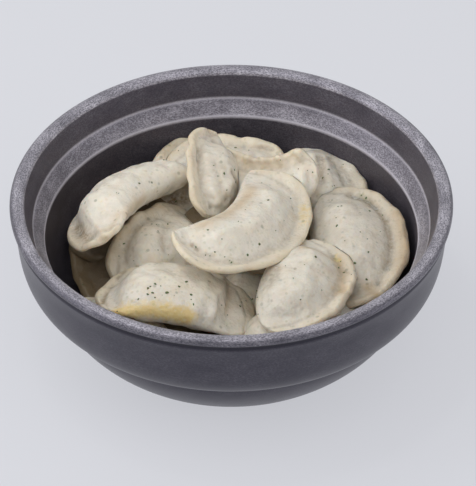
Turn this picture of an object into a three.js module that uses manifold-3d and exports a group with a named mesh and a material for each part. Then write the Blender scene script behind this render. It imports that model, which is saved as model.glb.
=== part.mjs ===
// A bowl of pierogi: boiled half-moon dumplings heaped in a round stoneware
// bowl with a stepped rim. Millimetres, +Z up, origin under the middle of the
// foot. Every dumpling is a closed solid of its own, dented where another one
// lies on it.

import * as THREE from 'three';
import { mergeVertices } from 'three/addons/utils/BufferGeometryUtils.js';
import Module from 'manifold-3d';

const wasm = await Module();
wasm.setup();

const { sin, cos, sqrt, abs, sign, min, PI } = Math;
const clamp01 = (value) => THREE.MathUtils.clamp(value, 0, 1);
const radians = THREE.MathUtils.degToRad;

// ---------------------------------------------------------------- dimensions

const GAP = 0.55; // clear space between two dumplings that touch
const WALL_GAP = 0.5; // clear space between a dumpling and the bowl
const FINENESS = 0.25; // the largest step that is smoothed away after a cut
const SHORTEST = 0.6; // edges below this length are drawn together after a cut
const MOST_TURN = 0.3; // cosine of the most that a face may turn when an edge goes
const WELD = 1e-4; // points nearer than this are one point
const HEADROOM = 20; // the heap may rise this far above the rim

const BOWL = {
  rimRadius: 95,
  height: 77.5,
  lipInnerRadius: 88.9,
  lipInnerDrop: 1.8, // inner edge of the lip, below its top
  lip: [[4.4, 0.4], [2.6, 0], [0.6, 0.9], [0, 2.4]], // in from the rim, down from the top
  ledgeOuterRadius: 85.7,
  ledgeOuterHeight: 64.4,
  ledgeInnerRadius: 80.9,
  ledgeInnerHeight: 57.5,
  floorHeight: 8,
  floorEdge: [42, 8.6], // radius and height where the floor starts to rise
  innerPulls: [[74, 13], [79.5, 38]], // these bend the inside between floor and ledge
  collarRadius: 94.2, // outer wall just under the lip
  collarHeight: 73,
  ridgeRadius: 82.3, // thin raised line round the outside
  ridgeHeight: 39.8,
  ridgeStep: [1, 1.2], // the wall goes in and down by this much under the line
  upperPulls: [[91.2, 59], [95.2, 44.7]], // these bend the wall above the line
  lowerPulls: [[79.8, 26], [66.9, 11.4]], // and the wall below it
  footRadius: 46.6,
  footWidth: 6,
  footRecess: 2,
  footSlope: 1, // the inside of the foot leans in by this much
  footRound: [1, 1.2], // from the foot's edge to the end of the wall
  steps: { inside: 6, upper: 4, lower: 3 }, // straight pieces of each curve
  sides: 56,
};

// The shape shared by all the dumplings. Each one changes what it needs.
const DOUGH = {
  length: 60, // tip to tip, measured along the unbent dumpling
  width: 32, // folded edge to sealed edge
  thickness: 16,
  flange: 6, // width of the pressed edge
  flangeThickness: 2.8,
  flangeRound: 0.6, // width of its rounded rim, as a part of its thickness
  tipRound: 1.2, // above 1 the rim is rounded over a shorter way at the tips
  tip: 0.42, // height of the tips above the fold, as a part of the width
  belly: 0.08, // how far the fold bows out, as a part of the width
  upperShare: 0.58, // part of the thickness above the plane of the flange
  sealedCurve: 2.5, // 2 makes the sealed edge an ellipse, more makes it squarer
  foldCurve: 3, // the same for the fold
  foldRise: 0.46, // the belly is full this far from the fold, as a part of the width
  sealedRise: 0.4, // the same from the flange
  tipRise: 0.24, // the same from the ends, as a part of the length
  riseCurve: 1.2, // below 1 the belly rises steeply from the flange, above 1 softly
  lean: 0, // moves the widest place towards the +X tip
  ends: [4, 4], // flat dough beyond the filling, at the -X and the +X tip
  edgeDrop: 0.8, // how far the pressed edge hangs below the middle plane
  dropReach: 1.6, // how far in that goes, as a part of the flange
  dropCurve: 1.5,
  middle: 0.4, // height of the bending axis above the fold, as a part of the width
  twist: 0, // degrees from tip to tip
  bend: 15, // degrees from tip to tip, the fold on the inside
  sag: 0, // degrees from tip to tip, over the flat face
  ripple: 0.6, // wave of the pressed edge
  rippleReach: 1.2, // how far in it goes, as a part of the flange
  rippleLength: 14,
  rows: 18, // of points from tip to tip
  around: 12, // points round each section
};

const HIDDEN = { rows: 10, around: 8 }; // dumplings that others cover

// turn: degrees about Z, then the rise of the +X tip, then the rise of the
// sealed edge. at: the middle of the dumpling. An entry dents all that follow.
const DUMPLINGS = [
  { name: 'pierog_top', length: 64.6, width: 36.1, thickness: 14.2, tip: 0.28, belly: -0.01,
    sealedCurve: 2.6, foldCurve: 3.24, lean: -0.08, ends: [4, 4],
    bend: 86.4, sag: 0.6, twist: -9.7, edgeDrop: -1.8,
    turn: [238.3, 8.6, -13.1], at: [8.3, -3.7, 60.3] },
  { name: 'pierog_front_left', length: 57.5, width: 42.2, thickness: 18.6, tip: 0.48, belly: 0.06,
    sealedCurve: 2.14, foldCurve: 3.88, lean: -0.09, ends: [2.4, 8.1],
    bend: 37.1, sag: 39.8, twist: 20.2, edgeDrop: -0.2,
    turn: [2.8, -12.3, -9.5], at: [-23, -34.4, 48.6] },
  { name: 'pierog_upright', length: 56.4, width: 26.9, thickness: 14.9, tip: 0.43, belly: 0.07,
    sealedCurve: 2.56, foldCurve: 1.8, lean: 0.25, ends: [3.6, 5.2],
    bend: -30, sag: 5.2, twist: 2.4, edgeDrop: -0.4,
    turn: [85.3, 8.9, 42.5], at: [-7.8, 33.6, 59.3] },
  { name: 'pierog_left', length: 69.5, width: 34.7, thickness: 18.8, tip: 0.34, belly: -0.02,
    sealedCurve: 1.8, foldCurve: 2.95, lean: -0.4, ends: [6.6, 2.5],
    bend: 88, sag: 40.1, twist: 2.6, edgeDrop: 0.3,
    turn: [55.1, -10.4, -32.3], at: [-46.1, 21.2, 59.5] },
  { name: 'pierog_front_right', length: 61.6, width: 37.4, thickness: 15.7, tip: 0.4, belly: 0.07,
    sealedCurve: 2.02, foldCurve: 2.61, lean: -0.05, ends: [4, 4],
    bend: -8.6, sag: 10.2, twist: 6.4, edgeDrop: 0.2,
    turn: [252.3, -2.6, 4.7], at: [29.6, -30.5, 51.3] },
  { name: 'pierog_right', length: 68.1, width: 41.4, thickness: 15.7, tip: 0.38, belly: 0.06,
    sealedCurve: 1.93, foldCurve: 2.35, lean: 0.04, ends: [4, 4],
    bend: 29.9, sag: -2.8, twist: 6.6, edgeDrop: 0.5,
    turn: [-87.5, -3.3, 14.2], at: [53.4, 2.5, 45.8] },
  { name: 'pierog_behind_top', length: 73.7, width: 23.1, thickness: 15.2, tip: 0.75, belly: 0.15,
    sealedCurve: 3.2, foldCurve: 3.28, lean: 0, ends: [4, 4],
    bend: -91.6, sag: -39.4, twist: 6.6, edgeDrop: -0.5,
    turn: [-8.1, 3.8, 48.3], at: [12.8, 37.9, 49.3] },
  { name: 'pierog_mid_left', length: 59.9, width: 35.9, thickness: 15.2, tip: 0.42, belly: 0.09,
    sealedCurve: 2.35, foldCurve: 2.51, lean: 0.25, ends: [4, 4],
    bend: -7, sag: 46.2, twist: 7.5, edgeDrop: 2.8,
    turn: [43.9, -7.6, 29.8], at: [-29.2, 3, 43.1] },
  { name: 'pierog_back_right', length: 50.6, width: 30, thickness: 14.2, tip: 0.38, belly: 0.1,
    sealedCurve: 2.72, foldCurve: 3.01, lean: -0.08, ends: [4, 4],
    bend: -1.6, sag: 7.2, twist: 0.9, edgeDrop: 1.8,
    turn: [-64.8, -4, 12.8], at: [41, 51.6, 43.4] },
  { name: 'pierog_back', length: 56, width: 30.5, thickness: 14.2, tip: 0.41, belly: 0.08,
    sealedCurve: 2.57, foldCurve: 3, lean: 0.13, ends: [4, 4],
    bend: 1.2, sag: -0.3, twist: 0.6, edgeDrop: 1,
    turn: [-6.6, -0.3, 28.9], at: [-2.4, 52.6, 47.2] },
  { name: 'pierog_back_left', length: 56.5, width: 30.4, thickness: 14.2, tip: 0.41, belly: 0.08,
    sealedCurve: 2.49, foldCurve: 3, lean: 0.02, ends: [4, 4],
    bend: 8.7, sag: 3, twist: -0.3, edgeDrop: 0.9,
    turn: [68.8, 1.9, 21.6], at: [-21, 50, 42.8] },
  { name: 'pierog_low_left', length: 58.8, width: 32.2, thickness: 14.2, tip: 0.42, belly: 0.08,
    sealedCurve: 2.55, foldCurve: 3, lean: 0.04, ends: [4, 4],
    bend: 13.1, sag: 0.3, twist: 0.7, edgeDrop: 0.6,
    turn: [102.1, 1.6, 8.6], at: [-51.9, 4.3, 31.7] },
  { name: 'pierog_low_middle', length: 58.6, width: 32.4, thickness: 15.2, tip: 0.42, belly: 0.08,
    sealedCurve: 2.5, foldCurve: 3, lean: 0, ends: [4, 4],
    bend: 15, sag: 0, twist: 0, edgeDrop: 0.8,
    turn: [70, 1.2, 0.5], at: [5.8, -7.7, 30.8] },
  { name: 'pierog_low_right', length: 62.7, width: 31.3, thickness: 14.1, tip: 0.41, belly: 0.07,
    sealedCurve: 2.51, foldCurve: 2.88, lean: 0, ends: [4.1, 4],
    bend: 17.1, sag: 25, twist: -1.2, edgeDrop: 1.2,
    turn: [205, -0.6, 10.8], at: [30.1, -42.5, 40.2] },
  { name: 'pierog_low_front', length: 54.6, width: 28.3, thickness: 14.2, tip: 0.43, belly: 0.07,
    sealedCurve: 2.43, foldCurve: 3, lean: -0.01, ends: [4, 4],
    bend: 10.2, sag: 10, twist: -0.2, edgeDrop: 0.8,
    turn: [144, 0.8, 10.9], at: [-46.8, -44, 39.2] },
  { name: 'pierog_low_back_left', length: 60, width: 34, thickness: 16,
    turn: [20, 0, 0], at: [-20.5, 45, 28] },
  { name: 'pierog_under_middle', ...HIDDEN, turn: [150, 0, 0], at: [6, 10, 44] },
  { name: 'pierog_under_left', ...HIDDEN, turn: [50, 0, 0], at: [-46, 30, 38] },
  { name: 'pierog_under_right', ...HIDDEN, turn: [-60, 0, 8], at: [47, 8, 31] },
  { name: 'pierog_under_back', ...HIDDEN, turn: [-20, 0, 0], at: [18, 41, 31] },
  { name: 'pierog_under_top', ...HIDDEN, turn: [170, 0, 0], at: [-10, 12, 31] },
  { name: 'pierog_under_front', ...HIDDEN, turn: [200, 0, 0], at: [22, -44, 28] },
  { name: 'pierog_under_front_left', ...HIDDEN, turn: [140, 0, 0], at: [-36, -34, 28] },
  { name: 'pierog_floor_front', ...HIDDEN, turn: [188, 0, 0], at: [8, -42, 15.2] },
  { name: 'pierog_floor_left', ...HIDDEN, turn: [75, 0, 0], at: [-36, -8, 15.2] },
  { name: 'pierog_floor_middle', ...HIDDEN, turn: [95, 0, 0], at: [0, -4, 15.2] },
  { name: 'pierog_floor_right', ...HIDDEN, turn: [-80, 0, 0], at: [36, 0, 15.2] },
  { name: 'pierog_floor_back', ...HIDDEN, turn: [-12, 0, 0], at: [12, 38, 15.2] },
  { name: 'pierog_floor_back_left', ...HIDDEN, turn: [45, 0, 0], at: [-28, 32, 15.2] },
];

const STONEWARE = new THREE.MeshStandardMaterial({ color: 0x46444b, roughness: 0.45, metalness: 0 });
const BOILED_DOUGH = new THREE.MeshStandardMaterial({ color: 0xcfc8b6, roughness: 0.4, metalness: 0 });

// ------------------------------------------------------------------- solids

function toSolid(geometry) {
  const bare = geometry.clone();
  bare.deleteAttribute('normal');
  bare.deleteAttribute('uv');
  const merged = mergeVertices(bare, WELD);
  return new wasm.Manifold(new wasm.Mesh({
    numProp: 3,
    vertProperties: new Float32Array(merged.attributes.position.array),
    triVerts: new Uint32Array(merged.index.array),
  }));
}

function toGeometry(solid) {
  const mesh = solid.getMesh();
  const geometry = new THREE.BufferGeometry();
  geometry.setAttribute('position', new THREE.BufferAttribute(mesh.vertProperties, 3));
  geometry.setIndex(new THREE.BufferAttribute(mesh.triVerts, 1));
  geometry.computeVertexNormals();
  return geometry;
}

// Brings the ends of every short edge together, shortest first, wherever the
// surface stays closed and no face turns over.
function withoutShortEdges(solid) {
  const mesh = solid.getMesh();
  const points = [];
  for (let i = 0; i < mesh.vertProperties.length; i += 3) {
    points.push(new THREE.Vector3().fromArray(mesh.vertProperties, i));
  }
  let faces = [];
  for (let i = 0; i < mesh.triVerts.length; i += 3) faces.push([...mesh.triVerts.slice(i, i + 3)]);
  const cornersOf = (face) => face.map((corner) => points[corner]);
  const normalOf = (corners) => new THREE.Triangle(...corners).getNormal(new THREE.Vector3());
  const facesAt = (corner) => faces.filter((face) => face.includes(corner));
  const cornersNear = (around) => new Set(around.flat());

  const drawTogether = ([a, b]) => {
    const atA = facesAt(a);
    const atB = facesAt(b);
    const shared = [...cornersNear(atA)].filter((corner) => cornersNear(atB).has(corner));
    if (shared.length !== 4) return false;
    const middle = points[a].clone().lerp(points[b], 0.5);
    const kept = [...atA, ...atB].filter((face) => !(face.includes(a) && face.includes(b)));
    const turns = kept.some((face) => {
      const moved = face.map((corner) => (corner === a || corner === b ? middle : points[corner]));
      return normalOf(cornersOf(face)).dot(normalOf(moved)) < MOST_TURN;
    });
    if (turns) return false;
    points[a] = middle;
    faces = faces.filter((face) => !(face.includes(a) && face.includes(b)));
    for (const face of facesAt(b)) face[face.indexOf(b)] = a;
    return true;
  };

  const shortEdges = () => faces
    .flatMap(([a, b, c]) => [[a, b], [b, c], [c, a]])
    .filter(([a, b]) => a < b && points[a].distanceTo(points[b]) < SHORTEST)
    .sort(([a, b], [c, d]) => points[a].distanceTo(points[b]) - points[c].distanceTo(points[d]));
  while (shortEdges().some(drawTogether));

  const geometry = new THREE.BufferGeometry().setFromPoints(faces.flatMap(cornersOf));
  return toSolid(geometry);
}

// A cut can leave scraps beside the body: only the body is kept.
function largestPiece(solid) {
  return solid.decompose().reduce((best, piece) => (piece.volume() > best.volume() ? piece : best));
}

// --------------------------------------------------------------------- bowl

function curvePoints(start, pullStart, pullEnd, end, steps) {
  const curve = new THREE.CubicBezierCurve(
    ...[start, pullStart, pullEnd, end].map(([r, z]) => new THREE.Vector2(r, z)));
  return curve.getPoints(steps).map((point) => [point.x, point.y]);
}

// Inside of the bowl, from the middle of the floor up to the lip's inner edge.
function innerWall() {
  const b = BOWL;
  return [
    [0, b.floorHeight],
    ...curvePoints(b.floorEdge, ...b.innerPulls, [b.ledgeInnerRadius, b.ledgeInnerHeight],
      b.steps.inside),
    [b.ledgeOuterRadius, b.ledgeOuterHeight],
    [b.lipInnerRadius, b.height - b.lipInnerDrop],
  ];
}

function bowlProfile() {
  const b = BOWL;
  const lip = b.lip.map(([inwards, down]) => [b.rimRadius - inwards, b.height - down]);
  const ridge = [b.ridgeRadius, b.ridgeHeight];
  const underRidge = [b.ridgeRadius - b.ridgeStep[0], b.ridgeHeight - b.ridgeStep[1]];
  const aboveFoot = [b.footRadius + b.footRound[0], b.footRound[1]];
  const upperWall = curvePoints([b.collarRadius, b.collarHeight], ...b.upperPulls, ridge,
    b.steps.upper);
  const lowerWall = curvePoints(underRidge, ...b.lowerPulls, aboveFoot, b.steps.lower);
  const footInside = b.footRadius - b.footWidth;
  const foot = [
    [b.footRadius, 0],
    [footInside, 0],
    [footInside - b.footSlope, b.footRecess],
    [0, b.footRecess],
  ];
  return [...innerWall(), ...lip, ...upperWall, ...lowerWall, ...foot];
}

// Lathe a profile of [radius, height] that runs down the outside to the axis.
function turned(profile, sides) {
  const points = profile.map(([r, z]) => new THREE.Vector2(r, z));
  const geometry = new THREE.LatheGeometry(points.reverse(), sides);
  return geometry.rotateX(PI / 2);
}

// The space that the dumplings may fill, a little inside the walls and open above.
function cavity() {
  const ceiling = BOWL.height + HEADROOM;
  const wall = innerWall().map(([r, z]) => [Math.max(r - WALL_GAP, 0), z + WALL_GAP]);
  wall[0][0] = 0;
  const top = wall[wall.length - 1];
  return toSolid(turned([[0, ceiling], [top[0], ceiling], ...wall.reverse()], BOWL.sides));
}

// ---------------------------------------------------------------- dumplings

// Falls from 1 in the middle to 0 at both ends: an ellipse at power 2, squarer above.
const quarterCurve = (u, power) => clamp01(1 - abs(u) ** power) ** (1 / power);

// Sealed edge and fold at u (-1 to 1 from tip to tip), as widths from the fold line.
function outline(shape, u) {
  const tipHeight = shape.tip * shape.width;
  const leaned = THREE.MathUtils.clamp(u - shape.lean * (1 - u * u), -1, 1);
  const sealed = tipHeight + (shape.width - tipHeight) * quarterCurve(leaned, shape.sealedCurve);
  const fold = tipHeight * (1 - quarterCurve(u, shape.foldCurve))
    - shape.belly * shape.width * (1 - u * u);
  return { sealed, fold };
}

// A quarter circle and a quarter sine, both from 0 to 1.
const rounded = (x) => sqrt(1 - (1 - clamp01(x)) ** 2);
const swelling = (x, power) => sin(clamp01(x) * PI / 2) ** power;

// Half thickness: the thin rounded plate of the flange, and the filled belly on it.
function halfThickness(shape, u, toSealed, toFold) {
  const toTip = (1 - abs(u)) * shape.length / 2;
  const end = shape.ends[u < 0 ? 0 : 1];
  const toRim = min(toSealed, toFold, toTip * shape.tipRound);
  const edge = rounded(toRim / (shape.flangeThickness * shape.flangeRound));
  const plate = shape.flangeThickness / 2 * edge;
  const filling = shape.thickness / 2
    * rounded(toFold / (shape.foldRise * shape.width))
    * swelling((toSealed - shape.flange) / (shape.sealedRise * shape.width), shape.riseCurve)
    * swelling((toTip - end) / (shape.tipRise * shape.length), shape.riseCurve);
  return Math.cbrt(plate ** 3 + filling ** 3);
}

// The point of the flat dumpling at u and the angle v round its section.
function flatPoint(shape, u, v) {
  const step = 0.001;
  const { sealed, fold } = outline(shape, u);
  const across = (1 - cos(v)) / 2;
  const x = shape.length / 2 * u;
  const y = fold + (sealed - fold) * across;
  const rise = outline(shape, u + step).sealed - outline(shape, u - step).sealed;
  const slope = rise / (step * shape.length);
  const toSealed = (sealed - y) / sqrt(1 + slope * slope);
  const share = sin(v) >= 0 ? shape.upperShare : shape.upperShare - 1;
  const atEdge = (reach) => clamp01(1 - toSealed / (shape.flange * reach));
  const wave = shape.ripple * atEdge(shape.rippleReach) * sin(2 * PI * x / shape.rippleLength);
  const drop = shape.edgeDrop * atEdge(shape.dropReach) ** shape.dropCurve;
  const z = 2 * share * halfThickness(shape, u, toSealed, y - fold) + wave - drop;
  return new THREE.Vector3(x, y, z);
}

// Bends the length into an arc of so many degrees: the tips move towards -axis.
function curl(point, axis, length, angle) {
  if (angle === 0) return;
  const radius = length / radians(angle);
  const turn = point.x / radius;
  const reach = radius + point[axis];
  point.x = reach * sin(turn);
  point[axis] = reach * cos(turn) - radius;
}

const ALONG = new THREE.Vector3(1, 0, 0);

function dumplingGeometry(entry) {
  const shape = { ...DOUGH, ...entry };
  const middle = shape.middle * shape.width;
  const [yaw, pitch, roll] = shape.turn.map(radians);
  const place = new THREE.Matrix4().makeRotationZ(yaw)
    .multiply(new THREE.Matrix4().makeRotationY(-pitch))
    .multiply(new THREE.Matrix4().makeRotationX(roll))
    .setPosition(...shape.at);
  const geometry = new THREE.SphereGeometry(1, shape.around, shape.rows);
  const position = geometry.attributes.position;
  for (let i = 0; i < position.count; i += 1) {
    const ball = new THREE.Vector3().fromBufferAttribute(position, i);
    const atTip = 1 - abs(ball.y) < 1e-6;
    const u = atTip ? sign(ball.y) : ball.y;
    const v = atTip ? PI / 2 : Math.atan2(-ball.z, -ball.x);
    const point = flatPoint(shape, u, v);
    point.y -= middle;
    point.applyAxisAngle(ALONG, radians(shape.twist) * point.x / shape.length);
    point.y += middle;
    curl(point, 'y', shape.length, shape.bend);
    curl(point, 'z', shape.length, shape.sag);
    point.y -= middle;
    point.applyMatrix4(place);
    position.setXYZ(i, point.x, point.y, point.z);
  }
  return geometry;
}

// The same closed surface moved outwards by a distance.
function grown(geometry, distance) {
  const bare = geometry.clone();
  bare.deleteAttribute('normal');
  bare.deleteAttribute('uv');
  const skin = mergeVertices(bare, WELD);
  skin.computeVertexNormals();
  const { position, normal } = skin.attributes;
  for (let i = 0; i < position.count; i += 1) {
    position.setXYZ(i,
      position.getX(i) + normal.getX(i) * distance,
      position.getY(i) + normal.getY(i) * distance,
      position.getZ(i) + normal.getZ(i) * distance);
  }
  return toSolid(skin);
}

// --------------------------------------------------------------------- model

const model = new THREE.Group();

const bowl = new THREE.Mesh(turned(bowlProfile(), BOWL.sides), STONEWARE);
bowl.name = 'bowl';
model.add(bowl);

const room = cavity();
const above = [];
for (const entry of DUMPLINGS) {
  const geometry = dumplingGeometry(entry);
  let solid = toSolid(geometry).intersect(room);
  for (const dent of above) solid = solid.subtract(dent);
  const body = withoutShortEdges(largestPiece(solid.simplify(FINENESS)));
  const mesh = new THREE.Mesh(toGeometry(body), BOILED_DOUGH);
  mesh.name = entry.name;
  model.add(mesh);
  above.push(grown(geometry, GAP));
}

export default model;
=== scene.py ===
"""A bowl of boiled pierogi: half-moon dumplings of wheat dough, heaped in a stoneware bowl."""

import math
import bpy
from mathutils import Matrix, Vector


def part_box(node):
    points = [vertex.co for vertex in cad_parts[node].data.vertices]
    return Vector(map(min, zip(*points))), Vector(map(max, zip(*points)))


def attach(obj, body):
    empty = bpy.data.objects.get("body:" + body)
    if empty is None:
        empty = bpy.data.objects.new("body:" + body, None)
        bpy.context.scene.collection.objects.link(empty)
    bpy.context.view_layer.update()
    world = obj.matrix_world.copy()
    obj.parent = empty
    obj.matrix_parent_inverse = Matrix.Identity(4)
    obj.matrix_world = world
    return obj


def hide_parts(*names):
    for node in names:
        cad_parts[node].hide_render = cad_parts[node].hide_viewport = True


bl_info = {
    "name": "Bowl of Pierogi",
    "version": (1, 0, 0),
    "blender": (4, 5, 0),
    "location": "View3D > Sidebar > Pierogi",
    "description": "Boiled half-moon dumplings heaped in a stoneware bowl with a stepped rim",
    "category": "Add Mesh",
}

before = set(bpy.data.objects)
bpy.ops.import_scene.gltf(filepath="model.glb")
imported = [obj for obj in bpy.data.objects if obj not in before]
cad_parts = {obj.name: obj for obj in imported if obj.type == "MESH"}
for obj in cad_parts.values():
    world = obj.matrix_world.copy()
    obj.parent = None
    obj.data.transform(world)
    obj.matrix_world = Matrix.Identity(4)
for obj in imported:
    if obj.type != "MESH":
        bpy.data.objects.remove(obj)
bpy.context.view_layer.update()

import bmesh
import bpy
import numpy as np
from mathutils import Matrix, Quaternion, Vector
from mathutils.bvhtree import BVHTree
from mathutils.kdtree import KDTree

MM = 0.001
BODY = "root"
BOWL_NODE = "bowl"


def linear(code):
    """An sRGB hex value as the linear colour that shaders take."""
    parts = [int(code[i:i + 2], 16) / 255 for i in (1, 3, 5)]
    return [c / 12.92 if c <= 0.04045 else ((c + 0.055) / 1.055) ** 2.4 for c in parts]


# ------------------------------------------------------------------ settings

BOWL_LOW, BOWL_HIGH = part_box(BOWL_NODE)
RIM_RADIUS = (BOWL_HIGH[0] - BOWL_LOW[0]) / 2 / MM
BOWL_HEIGHT = (BOWL_HIGH[2] - BOWL_LOW[2]) / MM


def size_property(name, description, millimetres):
    """A length that the sidebar shows in the scene's unit."""
    return bpy.props.FloatProperty(
        name=name, description=description, default=millimetres * MM, precision=4,
        unit="LENGTH", subtype="DISTANCE",
    )


def power_property(name, description, watts):
    """The power of a lamp."""
    return bpy.props.FloatProperty(name=name, description=description, default=watts, min=0, unit="POWER")


def colour_property(name, description, code):
    """A colour given as an sRGB hex value."""
    return bpy.props.FloatVectorProperty(
        name=name, description=description, default=linear(code), subtype="COLOR", min=0, max=1
    )


class BowlSettings(bpy.types.PropertyGroup):
    """Sizes and glaze colours of the bowl."""

    rim_radius: size_property("Rim radius", "Widest radius, at the lip", RIM_RADIUS)
    height: size_property("Height", "From the foot to the top of the lip", BOWL_HEIGHT)
    ledge_radius: size_property("Ledge radius", "Inner edge of the sloping ledge inside", 80.9)
    ledge_height: size_property("Ledge height", "Height of the ledge's inner edge", 57.5)
    ridge_radius: size_property("Ridge radius", "Thin raised line round the outside", 82.3)
    ridge_height: size_property("Ridge height", "Height of the raised line", 39.8)
    foot_radius: size_property("Foot radius", "Outer radius of the foot ring", 46.6)
    speckle: size_property("Speckle", "Spacing of the glaze speckle", 0.45)
    glaze: colour_property("Glaze", "Charcoal glaze", "#1F1E25")
    inside: colour_property("Inside", "Charcoal glaze inside the bowl", "#2F2A31")
    # The pale body colour: shows as speckle where the glaze is thin, and also paints the highlight lines at the
    # ledge's edges and the ridge.
    worn_and_highlight: colour_property("Thin glaze", "Pale body that shows where the glaze is thin", "#CFCBD4")
    sheen: colour_property("Sheen", "Bluish gloss of the crystals in the glaze", "#D2CDF0")
    # Near-black band under the lip: glaze pooled there, and painted shade under the lip's overhang.
    pooled: colour_property("Pooled glaze", "Thick glaze that has run together under the lip", "#060507")


class DoughSettings(bpy.types.PropertyGroup):
    """Sizes and colours of the dumplings."""

    flange: size_property("Pressed edge", "Width of the pressed edge", 6)
    edge_thickness: size_property("Edge thickness", "Thickness of the pressed edge", 2.8)
    gap: size_property("Gap", "Clear space between dumplings that touch", 0.25)
    belly: colour_property("Belly", "Moist boiled dough over the filling", "#EEE7D8")
    filling: colour_property("Filling", "Grey filling that shows through thin dough", "#DED7C9")
    edge: colour_property("Edge", "Denser dough of the pressed edge", "#E4D6BB")
    tan: colour_property("Tan", "Dough that has dried a little", "#D0B998")
    # Crease colour: painted shade in the creases, hollows and gaps between dumplings.
    crease: colour_property("Crease", "Dough in the creases", "#8A7353")
    butter: colour_property("Butter", "Melted butter soaked into the fold", "#EBCF86")
    green: colour_property("Green", "Dough stained by the herbs", "#8F9160")
    # Painted shade: darker, browner dough on the dumplings that lie deep in the heap.
    soaked: colour_property("Soaked", "Dough that lies deep in butter and broth", "#6E5B3C")
    herb: colour_property("Herb", "Chopped dill on the dough", "#505D36")


class StageSettings(bpy.types.PropertyGroup):
    """Floor, light and camera."""

    floor: colour_property("Floor", "Opal acrylic", "#7E7F82")
    glow: colour_property("Glow", "Light that comes through the opal acrylic", "#D5D6DC")
    glow_strength: bpy.props.FloatProperty(
        name="Glow strength", description="Strength of that light", default=0.74
    )
    key_power: power_property("Key", "Large window light", 3.0)
    fill_power: power_property("Fill", "Fill light over the front", 2.6)
    side_power: power_property("Sides", "Each side light", 2.5)
    spark_power: power_property("Spark", "Small lamp that wet dough glints in", 0.5)
    room: colour_property("Room", "Even light of the room", "#F4F5F8")
    ambient: bpy.props.FloatProperty(name="Ambient", description="Strength of the room's light", default=0.5)


# --------------------------------------------------------------------- nodes


def add_node(tree, kind, inputs=None, **settings):
    """Adds a shader node, sets its options, and fills or links its inputs."""
    node = tree.nodes.new(kind)
    for key, value in settings.items():
        setattr(node, key, value)
    for key, value in (inputs or {}).items():
        if isinstance(value, bpy.types.NodeSocket):
            tree.links.new(value, node.inputs[key])
        else:
            node.inputs[key].default_value = value
    return node


def new_material(name):
    """An empty node material with its output; returns the material, its tree and the output."""
    material = bpy.data.materials.new(name)
    material.use_nodes = True
    tree = material.node_tree
    tree.nodes.clear()
    return material, tree, add_node(tree, "ShaderNodeOutputMaterial")


def per_metre(millimetres):
    """Texture scale that repeats a pattern once in that many millimetres."""
    return 1 / (millimetres * MM)


def rgba(colour):
    """A shader colour with full alpha."""
    return (*colour, 1.0)


# ----------------------------------------------------------------- materials

FACTOR, UNDER, OVER, MIXED = 0, 6, 7, 2  # sockets of a Mix node that mixes colours
GRAIN_STRETCH = 2.2  # the wheel draws the grain out along the turn
MARKS = ("crease", "tan", "butter", "green")  # painted shade in creases and hollows, then what heat, butter and herbs leave on the dough


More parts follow.
